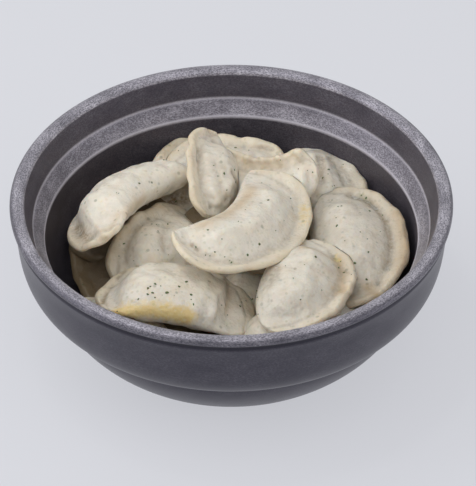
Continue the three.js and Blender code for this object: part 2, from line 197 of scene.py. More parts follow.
def glazed_stoneware(settings):
    """Stoneware, thrown and dipped in a satin charcoal glaze.

    The glaze is thin on edges and ledges, where the pale grainy body shows through as streaky speckle. The pale
    lines along the ledge's edges and the ridge are partly that bare body and partly painted highlight. The
    glaze runs together under the lip, where the near-black band is partly that pooled glaze and partly painted
    shade under the lip's overhang, and it is browner inside. Fine crystals in it make its gloss soft and
    bluish."""
    material, tree, output = new_material("satin_charcoal_glaze_on_stoneware")
    place = add_node(tree, "ShaderNodeTexCoord").outputs["Object"]
    mask = {
        name: add_node(tree, "ShaderNodeAttribute", attribute_name=name).outputs["Fac"]
        for name in ("inside", "thin_glaze", "bare_line", "pooled")
    }
    parts = add_node(tree, "ShaderNodeSeparateXYZ", {"Vector": place}).outputs
    # The pattern is wrapped round the wheel's axis, with its seam at the back.
    behind = add_node(tree, "ShaderNodeMath", {0: parts["Y"], 1: -1.0}, operation="MULTIPLY").outputs[0]
    turn = add_node(tree, "ShaderNodeMath", {0: parts["X"], 1: behind}, operation="ARCTAN2").outputs[0]
    around = add_node(
        tree, "ShaderNodeMath", {0: turn, 1: settings.rim_radius / GRAIN_STRETCH}, operation="MULTIPLY"
    ).outputs[0]
    flat = add_node(tree, "ShaderNodeCombineXYZ", {"X": parts["X"], "Y": parts["Y"]}).outputs[0]
    radius = add_node(tree, "ShaderNodeVectorMath", {0: flat}, operation="LENGTH").outputs["Value"]
    on_wheel = add_node(tree, "ShaderNodeCombineXYZ", {"X": around, "Y": radius, "Z": parts["Z"]}).outputs[0]
    noise = {
        name: add_node(
            tree, "ShaderNodeTexNoise",
            {"Vector": on_wheel, "Scale": per_metre(spacing), "Detail": detail, "Roughness": roughness},
        ).outputs["Fac"]
        for name, spacing, detail, roughness in (
            ("grain", settings.speckle / MM, 3.0, 0.75), ("cloud", 7, 4.0, 0.6),
        )
    }
    speck, patch, rough = (
        add_node(
            tree, "ShaderNodeMapRange",
            {"Value": noise[name], "From Min": low, "From Max": high, "To Min": to_low, "To Max": to_high},
        ).outputs["Result"]
        for name, low, high, to_low, to_high in (
            ("grain", 0.42, 0.61, 0.28, 1.0), ("cloud", 0.35, 0.65, 0.5, 1.0), ("grain", 0.3, 0.7, 0.34, 0.5),
        )
    )
    thin = add_node(tree, "ShaderNodeMath", {0: mask["thin_glaze"], 1: speck}, operation="MULTIPLY").outputs[0]
    show = add_node(
        tree, "ShaderNodeMath", {0: thin, 1: patch}, operation="MULTIPLY", use_clamp=True
    ).outputs[0]
    base = rgba(settings.glaze)
    # The pale lines are partly painted highlight; the near-black band under the lip is partly painted shade.
    for amount, above in (
        (mask["inside"], settings.inside), (show, settings.worn_and_highlight), (mask["bare_line"], settings.worn_and_highlight),
        (mask["pooled"], settings.pooled),
    ):
        base = add_node(
            tree, "ShaderNodeMix", {FACTOR: amount, UNDER: base, OVER: rgba(above)}, data_type="RGBA"
        ).outputs[MIXED]
    relief = add_node(
        tree, "ShaderNodeBump", {"Height": noise["grain"], "Strength": 0.25, "Distance": 0.15 * MM}
    ).outputs["Normal"]
    shader = add_node(
        tree, "ShaderNodeBsdfPrincipled",
        {
            "Base Color": base, "Roughness": rough, "Normal": relief, "IOR": 1.5,
            "Specular Tint": rgba(settings.sheen), "Coat Weight": 0.25, "Coat Roughness": 0.28,
        },
    )
    tree.links.new(shader.outputs[0], output.inputs["Surface"])
    return material


def boiled_dough(settings):
    """Wheat dough, rolled, pressed shut and boiled.

    Boiling swells the starch, so light goes a few millimetres in and comes out soft, mottled and slightly grey
    over the filling. The pressed edge is twice as thick in dough, so it is creamier. The cooking water leaves a
    thin film that shines in small spots, butter stains the folds, and herbs in the filling show faintly from
    below."""
    material, tree, output = new_material("boiled_wheat_dough")
    place = add_node(tree, "ShaderNodeTexCoord").outputs["Object"]
    mask = {
        name: add_node(tree, "ShaderNodeAttribute", attribute_name=name).outputs["Fac"]
        for name in ("pressed_edge", "soaked", *MARKS)
    }
    mottle = {}
    for name, millimetres, low, high, to_low, to_high in (
        ("filling", 5, 0.4, 0.66, 0.0, 0.6), ("edge", 11, 0.3, 0.7, -0.25, 0.25),
        ("tan", 8.5, 0.5, 0.72, 0.0, 0.3), ("crease", 1.7, 0.35, 0.6, 0.45, 1.0),
        ("butter", 2.4, 0.3, 0.7, -0.3, 0.3), ("green", 1.1, 0.35, 0.6, 0.0, 1.0),
        ("gloss", 9, 0.3, 0.7, 0.34, 0.55), ("wrinkles", 3.2, 0.0, 1.0, 0.0, 1.0),
        ("pores", 1.2, 0.0, 1.0, 0.0, 1.0),
    ):
        value = add_node(
            tree, "ShaderNodeTexNoise",
            {"Vector": place, "Scale": per_metre(millimetres), "Detail": 3.0, "Roughness": 0.6},
        ).outputs["Fac"]
        mottle[name] = add_node(
            tree, "ShaderNodeMapRange",
            {"Value": value, "From Min": low, "From Max": high, "To Min": to_low, "To Max": to_high},
        ).outputs["Result"]
    amount = {
        name: add_node(
            tree, "ShaderNodeMath", {0: mask[key], 1: mottle[name]}, operation=how, use_clamp=True
        ).outputs[0]
        for name, key, how in (
            ("edge", "pressed_edge", "ADD"), ("tan", "tan", "ADD"), ("crease", "crease", "MULTIPLY"),
            ("butter", "butter", "ADD"), ("green", "green", "MULTIPLY"),
        )
    }
    butter = add_node(
        tree, "ShaderNodeMapRange",
        {"Value": amount["butter"], "From Min": 0.15, "From Max": 0.85, "To Max": 0.85},
    ).outputs["Result"]
    flecks = []
    for spacing, core, strength in ((2.3, 0.36, 0.22), (4.5, 0.22, 0.36)):
        cells = add_node(tree, "ShaderNodeTexVoronoi", {"Vector": place, "Scale": per_metre(spacing)})
        near = add_node(
            tree, "ShaderNodeMapRange",
            {
                "Value": cells.outputs["Distance"],
                "From Min": core / 2, "From Max": core, "To Min": 1.0, "To Max": 0.0,
            },
        ).outputs["Result"]
        kind = add_node(tree, "ShaderNodeSeparateColor", {"Color": cells.outputs["Color"]}).outputs["Red"]
        some = add_node(
            tree, "ShaderNodeMapRange",
            {"Value": kind, "From Min": 0.4, "From Max": 0.9, "To Min": 0.0, "To Max": strength},
        ).outputs["Result"]
        flecks.append(add_node(tree, "ShaderNodeMath", {0: near, 1: some}, operation="MULTIPLY").outputs[0])
    # The crease and deep-shade colours are painted shade: darker dough in creases, hollows and gaps, and on
    # dumplings deep in the heap.
    colour = rgba(settings.belly)
    for share, above in (
        (mottle["filling"], settings.filling), (amount["edge"], settings.edge), (amount["tan"], settings.tan),
        (amount["crease"], settings.crease), (butter, settings.butter), (amount["green"], settings.green),
        (flecks[0], settings.green), (flecks[1], settings.herb), (mask["soaked"], settings.soaked),
    ):
        colour = add_node(
            tree, "ShaderNodeMix", {FACTOR: share, UNDER: colour, OVER: rgba(above)}, data_type="RGBA"
        ).outputs[MIXED]
    wrinkled = add_node(
        tree, "ShaderNodeBump", {"Height": mottle["wrinkles"], "Strength": 0.65, "Distance": 1.0 * MM}
    ).outputs["Normal"]
    relief = add_node(
        tree, "ShaderNodeBump",
        {"Height": mottle["pores"], "Normal": wrinkled, "Strength": 0.6, "Distance": 0.35 * MM},
    ).outputs["Normal"]
    shader = add_node(
        tree, "ShaderNodeBsdfPrincipled",
        {
            "Base Color": colour, "Roughness": mottle["gloss"], "Normal": relief, "IOR": 1.42,
            "Subsurface Weight": 0.5, "Subsurface Radius": (1.0, 0.72, 0.5), "Subsurface Scale": 2.5 * MM,
            "Coat Weight": 0.45, "Coat Roughness": 0.12, "Coat Normal": relief,
        },
    )
    tree.links.new(shader.outputs[0], output.inputs["Surface"])
    return material


def chopped_dill(settings):
    """Dill, chopped and boiled: small dark flakes, wet and nearly opaque."""
    material, tree, output = new_material("chopped_boiled_dill")
    place = add_node(tree, "ShaderNodeTexCoord").outputs["Object"]
    vein = add_node(
        tree, "ShaderNodeTexNoise", {"Vector": place, "Scale": per_metre(0.8), "Detail": 2.0}
    ).outputs["Fac"]
    dark, light = ([min(c * share, 1) for c in settings.herb] for share in (0.55, 2.2))
    colour = add_node(
        tree, "ShaderNodeMix", {FACTOR: vein, UNDER: rgba(dark), OVER: rgba(light)}, data_type="RGBA"
    ).outputs[MIXED]
    shader = add_node(tree, "ShaderNodeBsdfPrincipled", {"Base Color": colour, "Roughness": 0.45, "IOR": 1.4})
    tree.links.new(shader.outputs[0], output.inputs["Surface"])
    return material


def opal_acrylic(settings):
    """A matt sheet of opal acrylic, lit evenly from below, so that shadows on it stay faint."""
    material, tree, output = new_material("lit_opal_acrylic")
    shader = add_node(
        tree, "ShaderNodeBsdfPrincipled",
        {
            "Base Color": rgba(settings.floor), "Roughness": 0.9, "IOR": 1.3,
            "Emission Color": rgba(settings.glow), "Emission Strength": settings.glow_strength,
        },
    )
    tree.links.new(shader.outputs[0], output.inputs["Surface"])
    return material


# -------------------------------------------------------------------- meshes


def linked(name, data):
    """A new object in the scene that shows some data."""
    piece = bpy.data.objects.new(name, data)
    bpy.context.collection.objects.link(piece)
    return piece


def smooth(mesh):
    """Shades a mesh smooth."""
    mesh.polygons.foreach_set("use_smooth", [True] * len(mesh.polygons))


def mesh_object(name, vertices, faces, material=None):
    """A smooth mesh object made from points in millimetres."""
    mesh = bpy.data.meshes.new(name)
    mesh.from_pydata((np.asarray(vertices, float) * MM).tolist(), [], faces)
    smooth(mesh)
    mesh.update()
    if material:
        mesh.materials.append(material)
    return linked(name, mesh)


def set_numbers(mesh, name, values):
    """Stores one number for each vertex, for the material to read."""
    attribute = mesh.attributes.new(name, "FLOAT", "POINT")
    attribute.data.foreach_set("value", np.asarray(values, np.float32))


def bezier(start, pull_start, pull_end, end, steps):
    """Points of a cubic curve, both ends included."""
    t = np.linspace(0, 1, steps + 1)[:, None]
    a, b, c, d = map(np.array, (start, pull_start, pull_end, end))
    return (1 - t) ** 3 * a + 3 * (1 - t) ** 2 * t * b + 3 * (1 - t) * t * t * c + t ** 3 * d


def ring_faces(rings, around, turned=False):
    """Faces over rings of vertices that end in one point before the first ring and one after the last."""
    first, last = rings * around, rings * around + 1
    faces = []
    for j in range(around):
        k = (j + 1) % around
        faces.append((first, k, j))
        for low in range(0, (rings - 1) * around, around):
            high = low + around
            faces.append((low + j, low + k, high + k, high + j))
        faces.append((last, first - around + j, first - around + k))
    return [face[:1] + face[:0:-1] for face in faces] if turned else faces


def lathed(name, profile, sides, material=None):
    """Turns a profile of (radius, height) rows round +Z. The profile starts and ends on the axis."""
    angles = np.arange(sides) * 2 * math.pi / sides
    rings = profile[1:-1]
    points = np.stack(
        [np.outer(rings[:, 0], np.cos(angles)), np.outer(rings[:, 0], np.sin(angles)),
         np.repeat(rings[:, 1:2], sides, 1)], -1,
    ).reshape(-1, 3)
    points = np.vstack([points, [0, 0, profile[0][1]], [0, 0, profile[-1][1]]])
    return mesh_object(name, points, ring_faces(len(rings), sides), material)


# ---------------------------------------------------------------------- bowl

# Radius and height of the bowl's fixed corners, and other sizes, all in millimetres.
LEDGE_OUTER = (85.7, 64.4)
LIP_INNER = (88.9, 75.7)
LIP_CREST = 92.3
LIP_DROP = 2.1
COLLAR = (93.7, 73.2)
WALL_TOP = (94.1, 72.0)
BEAD = [(0.15, 0.6), (0.42, 0.3), (0.5, 0), (0.36, -0.3), (-0.1, -0.6), (-0.7, -1)]
FLOOR_HEIGHT = 8.0
FOOT_WIDTH = 6.0
FOOT_RECESS = 2.0
# Height and reach of the near-black band under the lip: pooled glaze and painted shade.
DARK_BAND_HEIGHT = 73.2
DARK_BAND_REACH = 1.1
# Reach of the pale lines at the ledge and the ridge: bare body and painted highlight.
LINE_REACH = 0.6
RIDGE_REACH = 0.7
BOWL_SIDES = 192


def inner_wall(settings):
    """Profile of the inside, from the middle of the floor to the inner edge of the lip."""
    ledge = (settings.ledge_radius / MM, settings.ledge_height / MM)
    return np.vstack([
        [(0, FLOOR_HEIGHT), (20, FLOOR_HEIGHT + 0.1)],
        bezier((42, FLOOR_HEIGHT + 0.6), (74, 13), (79.5, 38), ledge, 40),
        bezier(ledge, (81.3, 58.2), (85.3, 63.8), LEDGE_OUTER, 24)[1:],
        bezier(LEDGE_OUTER, (86, 66), (88.5, 74.2), LIP_INNER, 16)[1:],
    ])


def bowl_profile(settings):
    """Closed profile of the bowl and, for each row, what its glaze is like and where highlight and shade are
    painted.
    """
    rim, height = settings.rim_radius / MM, settings.height / MM
    ridge = (settings.ridge_radius / MM, settings.ridge_height / MM)
    foot = settings.foot_radius / MM
    wall = inner_wall(settings)
    lip = np.vstack([
        bezier(LIP_INNER, (89.3, 76.9), (90.8, height), (LIP_CREST, height), 12)[1:],
        bezier((LIP_CREST, height), (94, height), (rim, height - 1), (rim, height - LIP_DROP), 12)[1:],
        bezier((rim, height - LIP_DROP), (rim, height - 3.2), (COLLAR[0], 74.3), COLLAR, 10)[1:],
        [((COLLAR[0] + WALL_TOP[0]) / 2, 72.4)],
    ])
    outside = np.vstack([
        bezier(WALL_TOP, (91.2, 59), (95.2, 44.7), (ridge[0] + 0.1, ridge[1] + 0.9), 40),
        np.array(BEAD) + ridge,
        bezier((ridge[0] - 1, ridge[1] - 1.6), (79.6, 26), (66.9, 11.4), (foot + 1, 1.2), 30),
    ])
    inner_foot = foot - FOOT_WIDTH
    base = np.array([
        (foot + 0.4, 0.3), (foot - 0.1, 0), (inner_foot + 0.2, 0), (inner_foot - 0.3, 0.3),
        (inner_foot - 1, FOOT_RECESS), (0, FOOT_RECESS),
    ])
    profile = np.vstack([wall, lip, outside, base])
    radius, z = profile[:, 0], profile[:, 1]
    inside = (np.arange(len(profile)) < len(wall)) * 1.0

    def close_to(place, reach):
        """1 at a corner of the profile, falling to 0 away from it."""
        return np.exp(-(np.hypot(radius - place[0], z - place[1]) / reach) ** 2)

    ledge = (settings.ledge_radius / MM, settings.ledge_height / MM)
    on_ledge = inside * (z >= ledge[1] - 0.3) * (z <= LEDGE_OUTER[1] + 0.4)
    on_lip = (z > LIP_INNER[1] - 0.8) & (radius > LIP_INNER[0] - 0.5)
    outer_lip = np.clip((radius - 93.1) / 1.2, 0, 1)
    up_ledge = np.clip((z - ledge[1]) / (LEDGE_OUTER[1] - ledge[1]), 0, 1)
    thin = (0.72 - 0.3 * up_ledge) * on_ledge + (1 - 0.75 * outer_lip) * on_lip + 0.06 * inside + 0.1
    # Pale lines at the ledge's edges and the ridge: bare body where the glaze breaks, and painted highlight.
    bare_and_highlight = (
        0.85 * close_to(ledge, LINE_REACH) + 0.5 * close_to(LEDGE_OUTER, LINE_REACH)
        + 0.3 * close_to(ridge, RIDGE_REACH)
    )
    masks = {
        "inside": inside,
        "thin_glaze": np.clip(thin, 0, 1),
        "bare_line": np.clip(bare_and_highlight, 0, 1),
        # The band under the lip: pooled glaze and painted shade.
        "pooled": 0.95 * (1 - inside) * np.exp(-((z - DARK_BAND_HEIGHT) / DARK_BAND_REACH) ** 4),
    }
    return profile, masks


def per_ring(values, sides):
    """Spreads one value for each profile row over the vertices that lathed() makes."""
    return np.concatenate([np.repeat(values[1:-1], sides), [values[0], values[-1]]])


class PIEROGI_OT_bowl(bpy.types.Operator):
    """Turn the stoneware bowl"""

    bl_idname = "pierogi.bowl"
    bl_label = "Stoneware bowl"

    def execute(self, context):
        settings = context.scene.pierogi_bowl
        profile, masks = bowl_profile(settings)
        bowl = lathed("stoneware_bowl", profile, BOWL_SIDES, glazed_stoneware(settings))
        for name, values in masks.items():
            set_numbers(bowl.data, name, per_ring(values, BOWL_SIDES))
        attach(bowl, BODY)
        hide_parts(BOWL_NODE)
        return {"FINISHED"}


# ----------------------------------------------------------------- dumplings

# What every dumpling starts from. Lengths are in millimetres and angles in degrees.
DOUGH = {
    "length": 60, "width": 32, "thickness": 16,
    "tip": 0.42,  # where the tips lie between the fold and the sealed edge, as a share of the width
    "belly": 0.08,  # bulge of the fold, as a share of the width
    "sealed_curve": 2.5, "fold_curve": 3,  # powers of the two outlines: a higher one is squarer
    "lean": 0,  # shift of the sealed outline towards the +X tip
    "bend": 15, "sag": 0, "twist": 0,  # from tip to tip: sideways, down, and round the length
    "edge_drop": 0.8,  # how far the sealed edge hangs
    "upper": 0.58,  # share of the thickness above the sealed edge
    "ends": (4, 4),  # bare dough at each tip
    "pressed": ((-1, 1), (1, 1)),  # width of the pressed edge from tip to tip, as a share of the usual one
    "ripple": 0.6, "ripple_length": 14,  # waves of the pressed edge
    # share of painted shade, for dumplings that lie deep in the heap
    "soaked": 0,
    "rows": 120, "around": 96,
}

# Dumplings that show. An entry dents all that follow.
# turn: degrees about Z, then the rise of the +X tip, then the rise of the sealed edge.
# at: the middle of the dumpling in millimetres.
COLUMNS = (
    "length", "width", "thickness", "tip", "belly", "sealed_curve", "fold_curve", "lean",
    "bend", "sag", "twist", "edge_drop", "turn", "at",
)
SHOWN = {
    "top": (64.6, 36.1, 14.2, 0.28, -0.01, 2.6, 3.24, -0.08, 86.4, 0.6, -9.7, -1.8,
        (238.3, 8.6, -13.1), (8.3, -3.7, 60.3)),
    "front_left": (57.5, 42.2, 18.6, 0.48, 0.06, 2.14, 3.88, -0.09, 37.1, 39.8, 20.2, -0.2,
        (2.8, -12.3, -9.5), (-23, -34.4, 48.6)),
    "upright": (56.4, 26.9, 14.9, 0.43, 0.07, 2.56, 1.8, 0.25, -30, 5.2, 2.4, -0.4,
        (85.3, 8.9, 42.5), (-7.8, 33.6, 59.3)),
    "left": (69.5, 34.7, 18.8, 0.34, -0.02, 1.8, 2.95, -0.4, 88, 40.1, 2.6, 0.3,
        (55.1, -10.4, -32.3), (-46.1, 21.2, 59.5)),
    "front_right": (61.6, 37.4, 15.7, 0.4, 0.07, 2.02, 2.61, -0.05, -8.6, 10.2, 6.4, 0.2,
        (252.3, -2.6, 4.7), (29.6, -30.5, 51.3)),
    "right": (68.1, 41.4, 15.7, 0.38, 0.06, 1.93, 2.35, 0.04, 29.9, -2.8, 6.6, 0.5,
        (-87.5, -3.3, 14.2), (53.4, 2.5, 45.8)),
    "behind_top": (73.7, 23.1, 15.2, 0.75, 0.15, 3.2, 3.28, 0, -91.6, -39.4, 6.6, -0.5,
        (-8.1, 3.8, 48.3), (12.8, 37.9, 49.3)),
    "mid_left": (59.9, 35.9, 15.2, 0.42, 0.09, 2.35, 2.51, 0.25, -7, 46.2, 7.5, 2.8,
        (43.9, -7.6, 29.8), (-29.2, 3, 43.1)),
    "back_right": (50.6, 30, 14.2, 0.38, 0.1, 2.72, 3.01, -0.08, -1.6, 7.2, 0.9, 1.8,
        (-64.8, -4, 12.8), (41, 51.6, 43.4)),
    "back": (56, 30.5, 14.2, 0.41, 0.08, 2.57, 3, 0.13, 1.2, -0.3, 0.6, 1,
        (-6.6, -0.3, 28.9), (-2.4, 52.6, 47.2)),
    "back_left": (56.5, 30.4, 14.2, 0.41, 0.08, 2.49, 3, 0.02, 8.7, 3, -0.3, 0.9,
        (68.8, 1.9, 21.6), (-21, 50, 42.8)),
    "low_left": (58.8, 32.2, 14.2, 0.42, 0.08, 2.55, 3, 0.04, 13.1, 0.3, 0.7, 0.6,
        (102.1, 1.6, 8.6), (-51.9, 4.3, 31.7)),
    "low_middle": (58.6, 32.4, 15.2, 0.42, 0.08, 2.5, 3, 0, 15, 0, 0, 0.8,
        (70, 1.2, 0.5), (5.8, -7.7, 30.8)),
    "low_right": (62.7, 31.3, 14.1, 0.41, 0.07, 2.51, 2.88, 0, 17.1, 25, -1.2, 1.2,
        (205, -0.6, 10.8), (30.1, -42.5, 40.2)),
    "low_front": (54.6, 28.3, 14.2, 0.43, 0.07, 2.43, 3, -0.01, 10.2, 10, -0.2, 0.8,
        (144, 0.8, 10.9), (-46.8, -44, 39.2)),
    "low_back_left": (60, 34, 16, 0.42, 0.08, 2.5, 3, 0, 15, 0, 0, 0.8,
        (20, 0, 0), (-20.5, 45, 28)),
}
# What is different about some of them. Their share of deep shade is painted shade for dumplings low in the
# heap.
SPECIAL = {
    "front_left": {
        "ends": (2.4, 8.1), "pressed": ((-1, 1), (-0.6, 1), (-0.3, 0.35), (0.5, 0.35), (0.8, 1.3), (1, 1.3)),
    },
    "upright": {"ends": (3.6, 5.2), "soaked": 0.08},
    "left": {"ends": (6.6, 2.5), "pressed": ((-1, 1.1), (-0.7, 1.1), (-0.4, 0.4), (1, 0.4))},
    "front_right": {"soaked": 0.05},
    "right": {"soaked": 0.13},
    "back_right": {"ripple": 0.25},
    "low_left": {"soaked": 0.9},
    "low_right": {"ends": (4.1, 4)},
    "low_front": {"soaked": 0.2},
    "low_back_left": {"soaked": 0.95},
}

# Dumplings under them that only hold the others up: turn about Z, rise of the sealed edge, and middle.
HIDDEN = {
    "under_middle": (150, 0, (6, 10, 44)),
    "under_left": (50, 0, (-46, 30, 38)),
    "under_right": (-60, 8, (47, 8, 31)),
    "under_back": (-20, 0, (18, 41, 31)),
    "under_top": (170, 0, (-10, 12, 31)),
    "under_front": (200, 0, (22, -44, 28)),
    "under_front_left": (140, 0, (-36, -34, 28)),
    "floor_front": (188, 0, (8, -42, 15.2)),
    "floor_left": (75, 0, (-36, -8, 15.2)),
    "floor_middle": (95, 0, (0, -4, 15.2)),
    "floor_right": (-80, 0, (36, 0, 15.2)),
    "floor_back": (-12, 0, (12, 38, 15.2)),
    "floor_back_left": (45, 0, (-28, 32, 15.2)),
}
# They don't show, so they are coarser, and they are painted dark with deep shade.
HIDDEN_SHAPE = {"rows": 40, "around": 32, "soaked": 0.85}

# Strokes that hands and neighbours leave: path in millimetres, width, height, and a mark with its strength.
# The crease mark is painted shade in creases, hollows and gaps.
WORKED = {
    "left": (
        (((-66.5, 0.5, 57), (-64, -7.5, 60), (-61, -13.5, 62.5)), 3.4, -1.2, "crease", 0.95),
        (((-62.5, -1, 67.5), (-58.5, -8, 67), (-54, -20, 71)), 1.8, 0.9),
        (((-51, -14.5, 71), (-44.5, -4.5, 71), (-38.5, 11, 64.5)), 3, 0, "tan", 0.5),
        (((-48.5, -2, 72.5), (-44.5, 5, 71.5)), 4.5, -0.3),
        (((-29, 27.5, 67), (-22.5, 30, 65)), 3, 0.3),
    ),
    "mid_left": (
        (((-38.5, 3.5, 52.5), (-38.5, -6.5, 52)), 6.5, 1.6),
        (((-52.5, -9, 46.5), (-50, 2, 51), (-43.5, 13.5, 53), (-34, 20.5, 51), (-26.5, 24, 48.5)),
         2.5, 0.5, "tan", 0.15),
        (((-46.5, -8.5, 45.5), (-45.5, 0, 48.5), (-42.5, 8, 50.5), (-37, 14.5, 50.5), (-30.5, 17, 49)),
         1.6, -1.3, "crease", 0.5),
        (((-28, 14.5, 49), (-30, 2, 51.5), (-29, -5, 49.5)), 2.2, -1.4, "crease", 0.35),
    ),
    "top": (
        (((-16.5, -24.5, 68.5), (-14.5, -26.5, 68)), 1.3, -0.7, "crease", 0.9),
        (((-11.5, -13.5, 71), (-3, -6, 69.5), (5, 6, 67), (9, 18, 65.5)), 3.5, 0, "tan", 0.7),
        (((31.5, 16, 56.5), (32, 5.5, 57.5)), 2.6, 0, "butter", 0.5),
        (((26, 22.5, 57), (28, 12, 56.5), (26.5, -1, 56.5), (22, -14.5, 58.5)), 1.6, -0.5, "crease", 0.25),
        (((-0.5, -29, 64.5), (2, -32, 64.5)), 1, 0, "green", 0.6),
        (((-11, -28.5, 67), (-7.5, -28.5, 66)), 0.9, -0.3, "crease", 0.6),
        (((-2.5, -19, 71.5), (13, -4, 67.5)), 5, 0.4),
        (((-20, -24.5, 70), (-14.5, -29.5, 68), (-6.5, -31, 65.5), (2.5, -30.5, 64),
          (11.5, -23, 60.5), (18.5, -14.5, 59.5)), 1.3, -0.7, "crease", 0.35),
        (((-22, -20, 71.5), (-19, -27, 70), (-12, -32.5, 67.5), (-1.5, -36, 66)), 1.5, 0.3),
    ),
    "front_left": (
        (((-51, -26.5, 47), (-53.5, -34, 48.5), (-54.5, -42, 51.5)), 1.3, -0.9, "crease", 0.9),
        (((-46, -17, 47.5), (-49, -21.5, 47.5)), 1, -0.6, "crease", 0.7),
        (((-4.5, -16, 42), (-6, -39.5, 54), (-7.5, -50, 51.5)), 2.2, 1.4),
        (((-1.5, -24, 43), (-2.5, -34, 45), (-2.5, -41, 44.5)), 1.8, -0.7, "tan", 0.4),
        (((3, -24, 42), (3.5, -38, 43)), 5, 2.6),
        (((-11, -45.5, 55), (-12, -51.5, 50.5)), 2.2, -0.6, "crease", 0.2),
        (((-46.5, -52.5, 55.5), (-38, -53.5, 57.5), (-28, -52.5, 56.5), (-18.5, -52.5, 53.5)),
         4.2, 0, "butter", 1),
    ),
    "upright": (
        (((-15, 41, 69), (-14.5, 28, 65), (-12.5, 19.5, 61), (-9, 14.5, 57.5)), 1.1, -1.3, "crease", 0.7),
        (((-12, 46.5, 70), (-11, 31, 68), (-9, 20.5, 64.5), (-5.5, 15.5, 59.5)), 1.9, 2),
        (((-8, 52, 64.5), (-7, 33.5, 66), (-4.5, 22.5, 63), (-2.5, 19, 58.5)), 1.6, -1.2, "crease", 0.5),
        (((-4, 33, 66), (-2, 28.5, 64)), 2, -0.8, "crease", 0.3),
        (((0.5, 31.5, 63.5), (2, 32, 59), (2.5, 30.5, 55.5)), 1.2, -1.6, "crease", 1),
        (((-1, 37.5, 66), (0, 26.5, 63), (-1, 20.5, 60)), 2.2, 0.8),
        (((-10.5, 55, 69), (-8, 55, 66)), 1, -0.5, "crease", 0.4),
    ),
    "behind_top": (
        (((30.5, 43, 66.5), (32, 38, 61), (32.5, 31, 57)), 1.8, 1.2),
        (((6, 45.5, 61), (14, 44.5, 61.5), (21, 42.5, 63.5), (27, 43, 66)), 1.8, 0.8),
        (((6.5, 44.5, 58), (14, 43, 57.5), (21, 42, 57.5)), 2.5, -0.4, "tan", 0.2),
    ),
    "back": (
        (((4, 67.5, 55), (6, 63, 53)), 2, -1.5, "tan", 0.4),
        (((-0.5, 64, 54), (6.5, 62, 53), (14, 61.5, 54), (18.5, 60.5, 53.5)), 1.2, -0.6, "crease", 0.5),
    ),
    "back_left": (
        (((-29, 27.5, 49.5), (-26, 35, 45.5), (-22, 35, 46)), 5, -2.5, "crease", 1),
    ),
    "back_right": (
        (((45.5, 60.5, 48), (48.5, 54.5, 46.5), (50.5, 43.5, 47)), 1.5, -1.1, "crease", 0.6),
        (((42.5, 56, 51), (43, 47.5, 51), (44.5, 39, 50)), 2, 0.8),
        (((40.5, 57, 50.5), (40.5, 49, 50), (41, 42.5, 48)), 2.2, -2.4, "crease", 1),
    ),
    "right": (
        (((53, 33.5, 48.5), (61.5, 27, 49.5), (67.5, 14, 50.5), (69.5, -1.5, 50), (68, -14, 49),
          (63, -25, 47)), 2, -1.7, "crease", 1),
        (((73.5, 14, 53.5), (75.5, -6, 52.5), (73, -20, 51)), 4, 0, "tan", 0.75),
        (((58, 32.5, 50), (61, 29, 49.5)), 1.2, 0, "green", 0.8),
        (((57.5, -26, 47), (61.5, -32, 47.5)), 2.5, 0, "tan", 0.8),
        (((47.5, 12, 55), (52, -11, 54.5)), 6, 0.5),
    ),
    "front_right": (
        (((42.5, -10.5, 52.5), (46.5, -18.5, 53), (47, -29, 53), (42.5, -42, 53)), 1.5, -0.9, "crease", 0.45),
        (((45.5, -12.5, 53), (46.5, -19.5, 53)), 1.3, 0, "butter", 0.6),
        (((47.5, -22.5, 52.5), (49, -25, 53)), 1.2, 0, "crease", 0.8),
        (((45, -16.5, 52.5), (48, -26.5, 53), (46.5, -37.5, 53.5)), 2.8, -0.5, "tan", 0.85),
        (((20, -27.5, 58), (16.5, -36, 57)), 2.5, -0.8, "crease", 0.4),
        (((29.5, -14, 59), (36.5, -14.5, 57.5), (42.5, -16.5, 54.5)), 3, 0, "tan", 0.6),
    ),
}

